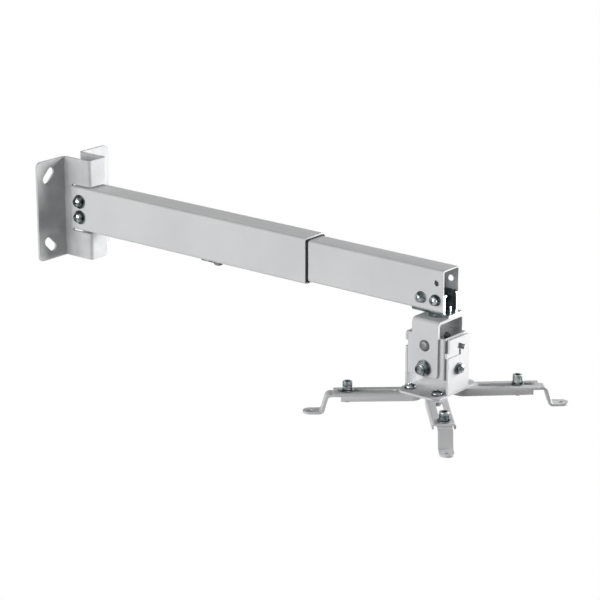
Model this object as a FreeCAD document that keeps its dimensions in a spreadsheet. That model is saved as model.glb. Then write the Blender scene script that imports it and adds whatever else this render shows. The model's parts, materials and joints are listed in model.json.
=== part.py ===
import FreeCAD, Part
import math
import os
import re
import Sketcher
from FreeCAD import Placement, Rotation, Vector

# Telescopic wall arm for a projector, with a turning, tilting and rolling head and a four armed spider.
# Frame: X runs out of the wall along the arm, Z is up, the origin is the centre of the wall
# plate's back face. Every place is worked out from the sizes below.

sizes = {
    # wall plate: one folded sheet, two flanges with a hat between them
    "plate_side": 115,
    "plate_corner": 6,
    "plate_sheet": 2.5,
    "hat_width": 28.4,
    "hat_height": 39,
    "hat_bend": 1.5,
    "screw_slot_centre": 40,
    "screw_slot_width": 10.5,
    "screw_slot_length": 20.5,
    "screw_slot_angle": 45,
    "tab_slot_height": 4.5,
    "tab_slot_start": 11,
    # telescopic arm
    "outer_height": 50,
    "outer_width": 32,
    "outer_length": 340,
    "inner_height": 45,
    "inner_width": 27,
    "inner_length": 360,
    "shown_length": 175.4,
    "tube_wall": 1.5,
    "tube_corner": 3,
    "sleeve_depth": 28,
    "sleeve_lip": 2,
    "rear_guide_length": 14,
    "slide_gap": 0.15,
    "seat_gap": 0.3,
    # screws and nuts
    "shank": 6,
    "shank_hole": 6.5,
    "cap_diameter": 10,
    "cap_height": 7,
    "cap_socket": 5,
    "cap_socket_depth": 3.5,
    "cross_width": 2.2,
    "cross_share": 0.55,
    "cross_depth": 1.8,
    "pan_round": 1.6,
    "nut_width": 10,
    "nut_height": 5,
    "nut_collar": 8.6,
    "nut_collar_height": 2,
    "screw_end": 1.5,
    "washer": 12,
    "washer_thickness": 1.6,
    "wide_washer": 16,
    "foot_washer": 14,
    "spring_washer": 11,
    "spring_washer_thickness": 1.8,
    "spring_washer_split": 1,
    "pivot_play": 0.08,
    # bolts through the arm at the wall
    "wall_bolt_inset": 13,
    "wall_bolt_pitch": 18,
    "wall_head": 11,
    "wall_head_height": 4.5,
    # lock under the outer tube
    "lock_from_mouth": 134,
    "lock_strip_length": 39,
    "lock_strip_width": 14,
    "lock_strip_sheet": 2,
    "lock_strip_drop": 2,
    "lock_strip_bend": 1,
    "lock_strip_seat": 9,
    "lock_screw_inset": 10,
    "lock_head": 10.5,
    "lock_head_height": 4.4,
    "lock_rivet": 5,
    "lock_rivet_height": 1.6,
    "lock_tip_gap": 0.1,
    # bracket in the inner tube's end
    "bracket_length": 40,
    "bracket_tongue": 6.5,
    "bracket_tab_width": 2,
    "bracket_tab_sheet": 1.5,
    "bracket_tab_rise": 6,
    "bracket_sheet": 2.5,
    "bracket_bend": 1,
    "bracket_gap": 0.2,
    "bracket_top": 3,
    "bracket_bottom": 26,
    "bracket_notch_gap": 1.5,
    "bracket_bolt_drop": 9.3,
    "bracket_bolt_inset": 9,
    "bracket_head": 9.5,
    "bracket_head_height": 4.2,
    "bracket_bolt_pitch": 18,
    "spare_hole_rise": 8,
    "swivel_setback": 15.4,
    "swivel_shank": 8,
    "swivel_head": 13,
    "swivel_head_height": 5,
    "swivel_spacer": 20,
    "swivel_spacer_thickness": 3.4,
    "big_nut_width": 13,
    "big_nut_height": 5.5,
    "big_nut_collar": 11,
    "big_nut_collar_height": 2,
    "big_washer": 17,
    # yoke
    "yoke_length": 32.5,
    "yoke_width": 44.6,
    "yoke_sheet": 3,
    "yoke_drop": 59.5,
    "yoke_bend": 2,
    "yoke_foot_corner": 4,
    "tilt_pivot_drop": 27,
    "rivet_shank": 6,
    "rivet_head": 12,
    "rivet_head_height": 3,
    "rivet_end": 8.5,
    "rivet_end_height": 3,
    "tilt_bolt_drop": 50.6,
    "tilt_play": 0.3,
    "tilt_angle": 15,
    # cradle
    "cradle_length": 46.5,
    "cradle_setback": 0.95,
    "cradle_sheet": 2,
    "cradle_gap": 0.2,
    "cradle_top_drop": 17.3,
    "cradle_height": 44,
    "cradle_corner": 2,
    # spider plate with its two upright ends
    "spider_sheet": 2.4,
    "spider_bend": 1,
    "spider_width": 72,
    "spider_clip": 6,
    "spider_drop": 75.6,
    "spider_rim_drop": 0.8,
    "spider_gap_outer": 2.2,
    "spider_gap_wall": 0.3,
    "spider_side_gap": 1.1,
    "roll_drop": 51.1,
    "roll_head": 10,
    "roll_head_height": 3.8,
    "latch_offset": 3.4,
    "latch_drop": 28.3,
    "latch_bar_length": 12,
    "latch_bar_height": 5.2,
    "latch_bar_angle": 22,
    "latch_stem_offset": 1.3,
    "latch_stem_width": 3.6,
    "latch_slit_drop": 36.2,
    "slit_height": 0.9,
    "edge_notch_depth": 1.6,
    "edge_notch_height": 13,
    "edge_tab_reach": 3,
    "hook_notch_depth": 9,
    "hook_notch_height": 6.5,
    "hook_notch_drop": 9,
    "hook_corner": 2,
    # arms
    "pivot_spread_x": 33.6,
    "pivot_spread_y": 45.6,
    "pivot_head": 12,
    "pivot_head_height": 4.6,
    "arm_length": 78,
    "arm_width": 24,
    "arm_height": 8,
    "arm_sheet": 2,
    "arm_bend": 1,
    "arm_slot_start": 14,
    "arm_slot_end": 74,
    "arm_slot_width": 7,
    "arm_side_cut": 7,
    "near_wall_angle": -139,
    "near_end_angle": -48.5,
    "far_end_angle": 43,
    "far_wall_angle": 135,
    "near_wall_bolt": 64,
    "near_end_bolt": 70,
    "far_end_bolt": 56,
    "far_wall_bolt": 62,
    "foot_hole_reach": 102,
    "foot_start": 44,
    "foot_slot_start": 51,
    "foot_slot_end": 75,
    "foot_width": 15,
    "foot_sheet": 2.5,
    "foot_drop": 21,
    "foot_riser_back": 16,
    "foot_riser_lean": 5,
    "foot_bend": 3,
    "foot_end": 7.5,
    "foot_hole": 5,
}

# sides of the spider that each arm's pivot is on, along and across
# its yaw and its bolt's place are in the sizes
arms = {"near_wall": ("-", "-"), "near_end": ("", "-"), "far_end": ("", ""), "far_wall": ("-", "")}

doc = FreeCAD.newDocument("ProjectorMount")
sheet = doc.addObject("Spreadsheet::Sheet", "Sizes")
for row, (alias, number) in enumerate(sizes.items(), start=1):
    sheet.set(f"A{row}", alias)
    sheet.set(f"B{row}", str(number))
    sheet.setAlias(f"B{row}", alias)
doc.recompute()

# Places along the arm and up the head, worked out from the sheet
tube_start = "(plate_sheet + tab_slot_start + seat_gap)"
mouth = f"({tube_start} + outer_length)"
inner_end = f"({mouth} + shown_length)"
swivel_x = f"({inner_end} - swivel_setback)"
bracket_web_top = "(-bracket_bottom + bracket_sheet)"
yoke_top = "(-bracket_bottom - swivel_spacer_thickness)"
tilt_z = f"({yoke_top} - tilt_pivot_drop)"
tilt_bolt_z = f"({yoke_top} - tilt_bolt_drop)"
cradle_top = f"({yoke_top} - cradle_top_drop)"
cradle_half = "(yoke_width / 2 - yoke_sheet - cradle_gap)"
spider_half = f"({cradle_half} - spider_side_gap)"
roll_z = f"({yoke_top} - roll_drop)"
spider_top = f"({yoke_top} - spider_drop)"
cradle_x0 = "(-cradle_length / 2 - cradle_setback)"
cradle_x1 = "(cradle_length / 2 - cradle_setback)"
spider_x0 = f"({cradle_x0} - spider_gap_wall - spider_sheet)"
spider_x1 = f"({cradle_x1} + spider_gap_outer + spider_sheet)"
spider_rim = f"({cradle_top} - spider_rim_drop)"
arm_top = f"({spider_top} - spider_sheet)"
foot_top = f"({arm_top} - arm_sheet)"
nodes = []


def in_sheet(text):
    """Name the sheet in front of each of its aliases."""
    return re.sub(r"[a-z][a-z_]*", lambda word: ("Sizes." if word[0] in sizes else "") + word[0], text)


def number(text):
    """The present value of a sum of sizes, read back from a bound property."""
    gauge = doc.getObject("Gauge") or doc.addObject("Part::Vertex", "Gauge")
    gauge.setExpression("X", in_sheet(text))
    gauge.recompute()
    return gauge.X.Value


def bind(thing, **links):
    for name, text in links.items():
        thing.setExpression(name.replace("__", "."), in_sheet(text))


def place(thing, x="0", y="0", z="0", axis=Vector(0, 0, 1), turn=None):
    """Give an object its place and turn, bound to the sheet."""
    thing.Placement = Placement(Vector(), Rotation(axis, 90))
    for letter, text in zip("xyz", (x, y, z)):
        thing.setExpression(f"Placement.Base.{letter}", in_sheet(text))
    thing.setExpression("Placement.Rotation.Angle", in_sheet(turn or "0"))
    return thing


def keep(thing, label):
    thing.Label = label
    nodes.append(thing)
    return thing


def new_body(label, x="0", y="0", z="0", turn=None):
    body = doc.addObject("PartDesign::Body", label)
    body.AllowCompound = True
    place(body, x, y, z, turn=turn)
    return keep(body, label)


def new_sketch(body, plane, x="0", y="0", z="0", turn=None):
    """A sketch on one of the body's origin planes, moved by x and y in its plane and z along its normal."""
    sketch = body.newObject("Sketcher::SketchObject", body.Name + "Sketch")
    origin = [item for item in body.Origin.OriginFeatures if item.Role == plane][0]
    sketch.AttachmentSupport = [(origin, "")]
    sketch.MapMode = "FlatFace"
    sketch.AttachmentOffset = Placement(Vector(), Rotation(Vector(0, 0, 1), 90))
    for letter, text in zip("xyz", (x, y, z)):
        sketch.setExpression(f"AttachmentOffset.Base.{letter}", in_sheet(text))
    sketch.setExpression("AttachmentOffset.Rotation.Angle", in_sheet(turn or "0"))
    return sketch


def pin(sketch, geometry, point, x, y):
    """Hold a point of the sketch at x and y from the sketch's origin."""
    for kind, text in (("DistanceX", x), ("DistanceY", y)):
        index = sketch.addConstraint(Sketcher.Constraint(kind, -1, 1, geometry, point, 1.0))
        sketch.setExpression(f"Constraints[{index}]", in_sheet(text))


def outline(sketch, corners):
    """A closed run of straight lines through the corners."""
    total = len(corners)
    turns = [2 * math.pi * i / total for i in range(total)]
    spots = [Vector(math.cos(turn), math.sin(turn), 0) * 50 for turn in turns]
    lines = [sketch.addGeometry(Part.LineSegment(spots[i], spots[(i + 1) % total])) for i in range(total)]
    for i, line in enumerate(lines):
        sketch.addConstraint(Sketcher.Constraint("Coincident", line, 2, lines[(i + 1) % total], 1))
        pin(sketch, line, 1, *corners[i])


def rectangle(sketch, x0, x1, y0, y1):
    outline(sketch, [(x0, y0), (x1, y0), (x1, y1), (x0, y1)])


def circle(sketch, x, y, diameter):
    ring = sketch.addGeometry(Part.Circle(Vector(), Vector(0, 0, 1), 5))
    pin(sketch, ring, 3, x, y)
    index = sketch.addConstraint(Sketcher.Constraint("Diameter", ring, 10.0))
    sketch.setExpression(f"Constraints[{index}]", in_sheet(diameter))


def round_slot(sketch, length, width):
    """A slot along the sketch's x axis, centred on its origin, with round ends."""
    upright = Vector(0, 0, 1)
    quarter = math.pi / 2
    rings = [Part.Circle(Vector(x, 0, 0), upright, 2) for x in (-5, 5)]
    left = sketch.addGeometry(Part.ArcOfCircle(rings[0], quarter, 3 * quarter))
    right = sketch.addGeometry(Part.ArcOfCircle(rings[1], -quarter, quarter))
    top = sketch.addGeometry(Part.LineSegment(Vector(5, 2, 0), Vector(-5, 2, 0)))
    bottom = sketch.addGeometry(Part.LineSegment(Vector(-5, -2, 0), Vector(5, -2, 0)))
    for first, second in ((left, bottom), (bottom, right), (right, top), (top, left)):
        sketch.addConstraint(Sketcher.Constraint("Coincident", first, 2, second, 1))
    for arc in (left, right):
        for end in (1, 2):
            sketch.addConstraint(Sketcher.Constraint("Vertical", arc, 3, arc, end))
    pin(sketch, left, 3, f"-({length} - {width}) / 2", "0")
    pin(sketch, right, 3, f"({length} - {width}) / 2", "0")
    index = sketch.addConstraint(Sketcher.Constraint("Radius", left, 2.0))
    sketch.setExpression(f"Constraints[{index}]", in_sheet(f"{width} / 2"))
    sketch.addConstraint(Sketcher.Constraint("Equal", left, right))


def round_start(sketch, half, length):
    """A strip from the origin along the sketch's x axis, with a half circle about the origin behind it."""
    ring = Part.Circle(Vector(), Vector(0, 0, 1), 9)
    bow = sketch.addGeometry(Part.ArcOfCircle(ring, math.pi / 2, 3 * math.pi / 2))
    spots = [Vector(0, -9, 0), Vector(60, -9, 0), Vector(60, 9, 0), Vector(0, 9, 0)]
    low, end, high = [sketch.addGeometry(Part.LineSegment(spots[i], spots[i + 1])) for i in range(3)]
    for first, second in ((bow, low), (low, end), (end, high), (high, bow)):
        sketch.addConstraint(Sketcher.Constraint("Coincident", first, 2, second, 1))
    for line in (low, high):
        sketch.addConstraint(Sketcher.Constraint("Horizontal", line))
    for tip in (1, 2):
        sketch.addConstraint(Sketcher.Constraint("PointOnObject", bow, tip, -2))
    index = sketch.addConstraint(Sketcher.Constraint("Radius", bow, 9.0))
    sketch.setExpression(f"Constraints[{index}]", in_sheet(half))
    sketch.addConstraint(Sketcher.Constraint("Coincident", bow, 3, -1, 1))
    sketch.addConstraint(Sketcher.Constraint("Vertical", end))
    index = sketch.addConstraint(Sketcher.Constraint("DistanceX", -1, 1, end, 1, 60.0))
    sketch.setExpression(f"Constraints[{index}]", in_sheet(length))


def pad(body, sketch, length, middle=False, back=False):
    feature = body.newObject("PartDesign::Pad", body.Name + "Pad")
    feature.Profile = sketch
    bind(feature, Length=length)
    feature.Midplane = middle
    feature.Reversed = back
    body.Tip = feature
    doc.recompute()
    return feature


def pocket(body, sketch, depth):
    """Cut the sketch out, half the depth to each side of its plane."""
    before = body.Shape.Volume
    feature = body.newObject("PartDesign::Pocket", body.Name + "Pocket")
    feature.Profile = sketch
    bind(feature, Length=depth)
    feature.Midplane = True
    body.Tip = feature
    doc.recompute()
    if not body.Shape.Volume < before:
        raise ValueError(f"{feature.Name} cuts nothing")
    return feature


def edges_at(shape, axis, spots):
    """Straight edges along an axis whose other two coordinates are those of one of the spots."""
    across = [i for i in range(3) if i != "xyz".index(axis)]
    found = []
    for index, edge in enumerate(shape.Edges, start=1):
        ends = [vertex.Point for vertex in edge.Vertexes]
        if len(ends) != 2 or not isinstance(edge.Curve, (Part.Line, Part.LineSegment)):
            continue
        for spot in spots:
            if all(abs(end[i] - value) < 0.01 for end in ends for i, value in zip(across, spot)):
                found.append(f"Edge{index}")
                break
    return found


def fillet(body, radius, axis, spots):
    """Round the edges along an axis at the spots, given as sums of sizes in the body's own frame."""
    base = body.Tip
    doc.recompute()
    values = [[number(text) for text in spot] for spot in spots]
    found = edges_at(base.Shape, axis, values)
    if not found:
        raise ValueError(f"{body.Label} has no edge to round along {axis} at {values}")
    feature = body.newObject("PartDesign::Fillet", body.Name + "Fillet")
    feature.Base = (base, found)
    bind(feature, Radius=radius)
    body.Tip = feature
    doc.recompute()
    return feature


def mirrored(spots):
    """The spots and their mirror images in the first coordinate's zero."""
    return spots + [(f"-({first})", second) for first, second in spots]


def tube(label, x, length, height, width):
    """A rectangular tube along X with rounded corners."""
    body = new_body(label, x=x)
    sketch = new_sketch(body, "YZ_Plane")
    rectangle(sketch, f"-{width} / 2", f"{width} / 2", f"-{height} / 2", f"{height} / 2")
    pad(body, sketch, length)
    inner_w, inner_h = f"({width} / 2 - tube_wall)", f"({height} / 2 - tube_wall)"
    outer_corners = [(f"{width} / 2", f"{height} / 2"), (f"{width} / 2", f"-{height} / 2")]
    fillet(body, "tube_corner", "x", mirrored(outer_corners))
    sketch = new_sketch(body, "YZ_Plane")
    rectangle(sketch, f"-{inner_w}", inner_w, f"-{inner_h}", inner_h)
    pocket(body, sketch, f"2 * {length}")
    fillet(body, "tube_corner - tube_wall", "x", mirrored([(inner_w, inner_h), (inner_w, f"-{inner_h}")]))
    return body


def across_hole(body, x, z, diameter, depth):
    """A round hole along Y through the body, centred on y = 0."""
    sketch = new_sketch(body, "XZ_Plane")
    circle(sketch, x, z, diameter)
    pocket(body, sketch, depth)


# Fasteners. Each is built along its own Z with its seat at zero, and is then turned to its axis.

axes = {
    "+z": (Vector(0, 0, 1), "0"),
    "-z": (Vector(1, 0, 0), "180"),
    "-y": (Vector(1, 0, 0), "90"),
    "+y": (Vector(1, 0, 0), "-90"),
    "+x": (Vector(0, 1, 0), "90"),
    "-x": (Vector(0, 1, 0), "-90"),
}


def cylinder(diameter, height, z="0"):
    item = doc.addObject("Part::Cylinder", "Round")
    bind(item, Radius=f"({diameter}) / 2", Height=height, Placement__Base__z=z)
    return item


def hexagon(width, height, z="0"):
    """A six sided prism, measured across its flats."""
    item = doc.addObject("Part::Prism", "Hexagon")
    item.Polygon = 6
    bind(item, Circumradius=f"{width} / 2 / cos(30)", Height=height, Placement__Base__z=z)
    return item


def fuse(*items):
    joined = doc.addObject("Part::MultiFuse", "Joined")
    joined.Shapes = list(items)
    joined.Refine = True
    return joined


def cut(base, tool):
    result = doc.addObject("Part::Cut", "Bored")
    result.Base = base
    result.Tool = tool
    return result


def plain_screw(length, head, height):
    """Screw whose head stands up from the seat and whose shank goes down."""
    return fuse(cylinder(head, height), cylinder("shank", length, z=f"-({length})"))


def cap_screw(length):
    """Cylinder head screw with a hexagon socket."""
    socket = hexagon("cap_socket", "cap_socket_depth", z="cap_height - cap_socket_depth")
    return cut(plain_screw(length, "cap_diameter", "cap_height"), socket)


def pan_screw(length, head, height):
    """Screw whose low head narrows at its top and has a cross recess."""
    cap = doc.addObject("Part::Cone", "Cap")
    bind(cap, Radius1=f"{head} / 2", Radius2=f"{head} / 2 - pan_round", Height="pan_round",
         Placement__Base__z=f"{height} - pan_round")
    solid = fuse(plain_screw(length, head, f"{height} - pan_round"), cap)
    return cut(solid, fuse(cross_bar(head, "cross_width", height), cross_bar("cross_width", head, height)))


def cross_bar(length, width, height):
    bar = doc.addObject("Part::Box", "CrossBar")
    bind(bar, Length=f"{length} * cross_share", Width=f"{width} * cross_share", Height="cross_depth",
         Placement__Base__x=f"-{length} * cross_share / 2", Placement__Base__y=f"-{width} * cross_share / 2",
         Placement__Base__z=f"{height} - cross_depth")
    return bar


def ring(outer, bore, height):
    return cut(cylinder(outer, height), cylinder(bore, height))


def big_bolt(length):
    shank = cylinder("swivel_shank", length, z=f"-({length})")
    return fuse(hexagon("swivel_head", "swivel_head_height"), shank)


def split_ring(outer, bore, height):
    """Spring washer: a ring cut through at one side."""
    notch = doc.addObject("Part::Box", "Split")
    bind(notch, Length=outer, Width="spring_washer_split", Height=height)
    return cut(ring(outer, bore, height), notch)


def lock_nut(size="nut", bore="shank"):
    """Self locking nut: a hexagon with a round collar."""
    height = f"{size}_height"
    full = f"{height} + {size}_collar_height"
    return cut(fuse(hexagon(f"{size}_width", height), cylinder(f"{size}_collar", full)), cylinder(bore, full))


def at(item, axis, x="0", y="0", z="0"):
    direction, turn = axes[axis]
    return place(item, x, y, z, axis=direction, turn=turn)


def group(label, items):
    """Like fasteners in one node, as separate solids."""
    if len(items) == 1:
        return keep(items[0], label)
    bundle = doc.addObject("Part::Compound", label)
    bundle.Links = items
    return keep(bundle, label)


def through_bolts(name, spots, side, washer):
    """Screws along Y with a spring washer and a washer under each head, and a washer and nut behind."""
    grip = f"(2 * {side} + 2 * washer_thickness + spring_washer_thickness)"
    length = f"({grip} + nut_height + nut_collar_height + screw_end)"
    head_y = f"-({side} + washer_thickness + spring_washer_thickness)"
    head, height = name + "_head", name + "_head_height"
    group(name + "_bolts", [at(pan_screw(length, head, height), "-y", x, head_y, z) for x, z in spots])
    springs, rings = [], []
    for x, z in spots:
        spring = split_ring("spring_washer", "shank", "spring_washer_thickness")
        springs.append(at(spring, "-y", x, f"-({side} + washer_thickness)", z))
        for axis, y in (("-y", f"-{side}"), ("+y", side)):
            rings.append(at(ring(washer, "shank_hole", "washer_thickness"), axis, x, y, z))
    group(name + "_spring_washers", springs)
    group(name + "_washers", rings)
    group(name + "_nuts", [at(lock_nut(), "+y", x, f"{side} + washer_thickness", z) for x, z in spots])


def wall_plate():
    """Flanges on the wall and a hat between them, whose webs are slit for the tube's top and bottom."""
    body = new_body("wall_plate")
    half, hat = "plate_side / 2", "hat_width / 2"
    front, crown = "plate_sheet", "(plate_sheet + hat_height)"
    inner, under_crown = f"({hat} - plate_sheet)", "hat_height"
    profile = new_sketch(body, "XY_Plane")
    outline(profile, [
        ("0", f"-{half}"), (front, f"-{half}"), (front, f"-{hat}"), (crown, f"-{hat}"), (crown, hat),
        (front, hat), (front, half), ("0", half), ("0", inner), (under_crown, inner),
        (under_crown, f"-{inner}"), ("0", f"-{inner}"),
    ])
    pad(body, profile, "plate_side", middle=True)
    fillet(body, "plate_corner", "x", [(f"{a}{half}", f"{b}{half}") for a in ("", "-") for b in ("", "-")])
    outer_bends = [(crown, hat), (crown, f"-{hat}"), ("0", inner), ("0", f"-{inner}")]
    inner_bends = [(under_crown, inner), (under_crown, f"-{inner}"), (front, hat), (front, f"-{hat}")]
    fillet(body, "hat_bend + plate_sheet", "z", outer_bends)
    fillet(body, "hat_bend", "z", inner_bends)
    for side in ("", "-"):
        for level, turn in (("", "screw_slot_angle"), ("-", "-screw_slot_angle")):
            way = turn if side else f"-({turn})"
            across, up = f"{side}screw_slot_centre", f"{level}screw_slot_centre"
            sketch = new_sketch(body, "YZ_Plane", x=across, y=up, turn=way)
            round_slot(sketch, "screw_slot_length", "screw_slot_width")
            pocket(body, sketch, "4 * plate_sheet")
    for level in ("", "-"):
        sketch = new_sketch(body, "XZ_Plane")
        centre = f"{level}outer_height / 2"
        rectangle(sketch, f"{front} + tab_slot_start", f"{crown} + 1", f"{centre} - tab_slot_height / 2",
                  f"{centre} + tab_slot_height / 2")
        pocket(body, sketch, "2 * hat_width")
    for level in ("", "-"):
        hole_x, hole_z = f"{tube_start} + wall_bolt_inset", f"{level}wall_bolt_pitch / 2"
        across_hole(body, hole_x, hole_z, "shank_hole", "2 * hat_width")
    return body


def outer_tube():
    body = tube("outer_tube", tube_start, "outer_length", "outer_height", "outer_width")
    for level in ("", "-"):
        across_hole(body, "wall_bolt_inset", f"{level}wall_bolt_pitch / 2", "shank_hole", "2 * outer_width")
    sketch = new_sketch(body, "XY_Plane", z="-outer_height / 2")
    circle(sketch, "outer_length - lock_from_mouth", "0", "shank_hole")
    pocket(body, sketch, "4 * tube_wall")
    return body


def inner_tube():
    """The sliding tube. Its floor is cut away at the end for the bracket."""
    start = f"({inner_end} - inner_length)"
    body = tube("inner_tube", start, "inner_length", "inner_height", "inner_width")
    for back in ("0", "bracket_bolt_pitch"):
        across_hole(body, f"inner_length - bracket_bolt_inset - {back}", "-bracket_bolt_drop", "shank_hole",
                    "2 * inner_width")
    across_hole(body, "inner_length - bracket_bolt_inset", "spare_hole_rise", "shank_hole", "2 * inner_width")
    sketch = new_sketch(body, "XY_Plane", z="-inner_height / 2")
    side = "(inner_width / 2 - tube_wall)"
    notch_start = "inner_length - bracket_length - bracket_notch_gap"
    rectangle(sketch, notch_start, "inner_length + 1", f"-{side}", side)
    pocket(body, sketch, "4 * tube_wall")
    return body


def guide(label, x, length, outer_gap, inner_gap):
    """Thin plastic sleeve between the tubes, with its gaps to the outer and to the inner one."""
    body = new_body(label, x=x)
    outer_w, outer_h = [f"({side} / 2 - tube_wall - {outer_gap})" for side in ("outer_width", "outer_height")]
    inner_w, inner_h = [f"({side} / 2 + {inner_gap})" for side in ("inner_width", "inner_height")]
    sketch = new_sketch(body, "YZ_Plane")
    rectangle(sketch, f"-{outer_w}", outer_w, f"-{outer_h}", outer_h)
    pad(body, sketch, length)
    fillet(body, "tube_corner - tube_wall", "x", mirrored([(outer_w, outer_h), (outer_w, f"-{outer_h}")]))
    sketch = new_sketch(body, "YZ_Plane")
    rectangle(sketch, f"-{inner_w}", inner_w, f"-{inner_h}", inner_h)
    pocket(body, sketch, f"2 * {length}")
    inner_corners = [(inner_w, inner_h), (inner_w, f"-{inner_h}")]
    fillet(body, f"tube_corner + {inner_gap}", "x", mirrored(inner_corners))


def guides():
    guide("guide_sleeve", f"{mouth} - sleeve_depth", "(sleeve_depth + sleeve_lip)", "0", "slide_gap")
    guide("rear_guide", f"{inner_end} - inner_length", "rear_guide_length", "slide_gap", "0")


def arm_lock():
    """Stepped strip riveted under the outer tube, and a screw whose tip meets the inner tube."""
    screw_x = f"({mouth} - lock_from_mouth)"
    under = "(-outer_height / 2)"
    start, end = "(lock_screw_inset - lock_strip_length)", "lock_screw_inset"
    step0, step1 = f"({start} + lock_strip_seat)", f"({start} + lock_strip_seat + lock_strip_drop)"
    low, sheet = "lock_strip_drop", "lock_strip_sheet"
    body = new_body("lock_strip", x=screw_x, z=under)
    profile = new_sketch(body, "XZ_Plane")
    outline(profile, [
        (start, "0"), (step0, "0"), (step1, f"-{low}"), (end, f"-{low}"), (end, f"-{low} - {sheet}"),
        (step1, f"-{low} - {sheet}"), (step0, f"-{sheet}"), (start, f"-{sheet}"),
    ])
    pad(body, profile, "lock_strip_width", middle=True)
    fillet(body, "lock_strip_bend", "y", [(step0, "0"), (step0, f"-{sheet}"), (step1, f"-{low}"),
                                          (step1, f"-{low} - {sheet}")])
    fillet(body, "lock_strip_sheet", "z", mirror_ends(start, end, "lock_strip_width / 2"))
    sketch = new_sketch(body, "XY_Plane")
    circle(sketch, "0", "0", "shank")
    pocket(body, sketch, "2 * (lock_strip_drop + 2 * lock_strip_sheet)")
    seat = f"({under} - {low} - {sheet})"
    reach = f"(-{seat} - inner_height / 2 - lock_tip_gap)"
    group("lock_screw", [at(plain_screw(reach, "lock_head", "lock_head_height"), "-z", screw_x, "0", seat)])
    rivet_x = f"({screw_x} + {start} + lock_strip_seat / 2)"
    rivet = cylinder("lock_rivet", "lock_rivet_height")
    group("lock_rivet", [at(rivet, "-z", rivet_x, "0", f"{under} - {sheet}")])


def mirror_ends(x0, x1, y):
    """The four corners of a rectangle that lies evenly about y = 0."""
    return [(x0, y), (x1, y), (x0, f"-({y})"), (x1, f"-({y})")]


def head_bracket():
    """Folded U in the end of the inner tube, with the swivel bolt through its web."""
    body = new_body("head_bracket", x=swivel_x)
    side = "(inner_width / 2 - tube_wall - bracket_gap)"
    inner = f"({side} - bracket_sheet)"
    x0, x1 = "(swivel_setback - bracket_length)", "swivel_setback"
    sketch = new_sketch(body, "YZ_Plane", z=f"({x0} + {x1}) / 2")
    outline(sketch, [
        (f"-{side}", "-bracket_top"), (f"-{side}", "-bracket_bottom"), (side, "-bracket_bottom"),
        (side, "-bracket_top"), (inner, "-bracket_top"), (inner, bracket_web_top),
        (f"-{inner}", bracket_web_top), (f"-{inner}", "-bracket_top"),
    ])
    pad(body, sketch, "bracket_length", middle=True)
    fillet(body, "bracket_bend + bracket_sheet", "x", mirrored([(side, "-bracket_bottom")]))
    fillet(body, "bracket_bend", "x", mirrored([(inner, bracket_web_top)]))
    fillet(body, "bracket_bend + bracket_sheet", "y", [(x0, "-bracket_top"), (x1, "-bracket_top")])
    sketch = new_sketch(body, "XY_Plane", z="-bracket_bottom")
    rectangle(sketch, f"{x1} - bracket_sheet", f"{x1} + bracket_tongue", f"-{side}", side)
    pad(body, sketch, "bracket_sheet")
    sketch = new_sketch(body, "XY_Plane", z="-bracket_bottom")
    rectangle(sketch, f"{x1} - bracket_tab_sheet", x1, "-bracket_tab_width / 2", "bracket_tab_width / 2")
    pad(body, sketch, "bracket_tab_rise + bracket_sheet")
    for back in ("0", "bracket_bolt_pitch"):
        across_hole(body, f"swivel_setback - bracket_bolt_inset - {back}", "-bracket_bolt_drop", "shank_hole",
                    "2 * inner_width")
    sketch = new_sketch(body, "XY_Plane", z="-bracket_bottom")
    circle(sketch, "0", "0", "swivel_shank")
    pocket(body, sketch, "4 * bracket_sheet")


def swivel():
    """Bolt up through the yoke, the spacer and the bracket, with its nut inside the bracket."""
    seat = f"({yoke_top} - yoke_sheet)"
    nut_seat = f"({bracket_web_top} + washer_thickness)"
    length = f"({nut_seat} - {seat} + big_nut_height + big_nut_collar_height)"
    group("swivel_bolt", [at(big_bolt(length), "-z", swivel_x, "0", seat)])
    spacer = ring("swivel_spacer", "swivel_shank", "swivel_spacer_thickness")
    group("swivel_spacer", [at(spacer, "+z", swivel_x, "0", yoke_top)])
    washer = ring("big_washer", "swivel_shank", "washer_thickness")
    group("swivel_washer", [at(washer, "+z", swivel_x, "0", bracket_web_top)])
    nut = lock_nut("big_nut", "swivel_shank")
    group("swivel_nut", [at(nut, "+z", swivel_x, "0", nut_seat)])


def swivel_yoke():
    """Saddle of thick sheet that turns under the bracket and carries the cradle between its legs."""
    body = new_body("swivel_yoke", x=swivel_x)
    side = "(yoke_width / 2)"
    inner = f"({side} - yoke_sheet)"
    under = f"({yoke_top} - yoke_sheet)"
    foot = f"({yoke_top} - yoke_drop)"
    sketch = new_sketch(body, "YZ_Plane")
    outline(sketch, [
        (f"-{side}", foot), (f"-{inner}", foot), (f"-{inner}", under), (inner, under), (inner, foot),
        (side, foot), (side, yoke_top), (f"-{side}", yoke_top),
    ])
    pad(body, sketch, "yoke_length", middle=True)
    fillet(body, "yoke_bend + yoke_sheet", "x", mirrored([(side, yoke_top)]))
    fillet(body, "yoke_bend", "x", mirrored([(inner, under)]))
    fillet(body, "yoke_foot_corner", "y", [("yoke_length / 2", foot), ("-yoke_length / 2", foot)])
    sketch = new_sketch(body, "XY_Plane", z=yoke_top)
    circle(sketch, "0", "0", "swivel_shank + 2 * pivot_play")
    pocket(body, sketch, "4 * yoke_sheet")
    across_hole(body, "0", tilt_z, "rivet_shank", "2 * yoke_width")
    across_hole(body, "0", tilt_bolt_z, "swivel_shank", "2 * yoke_width")


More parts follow.
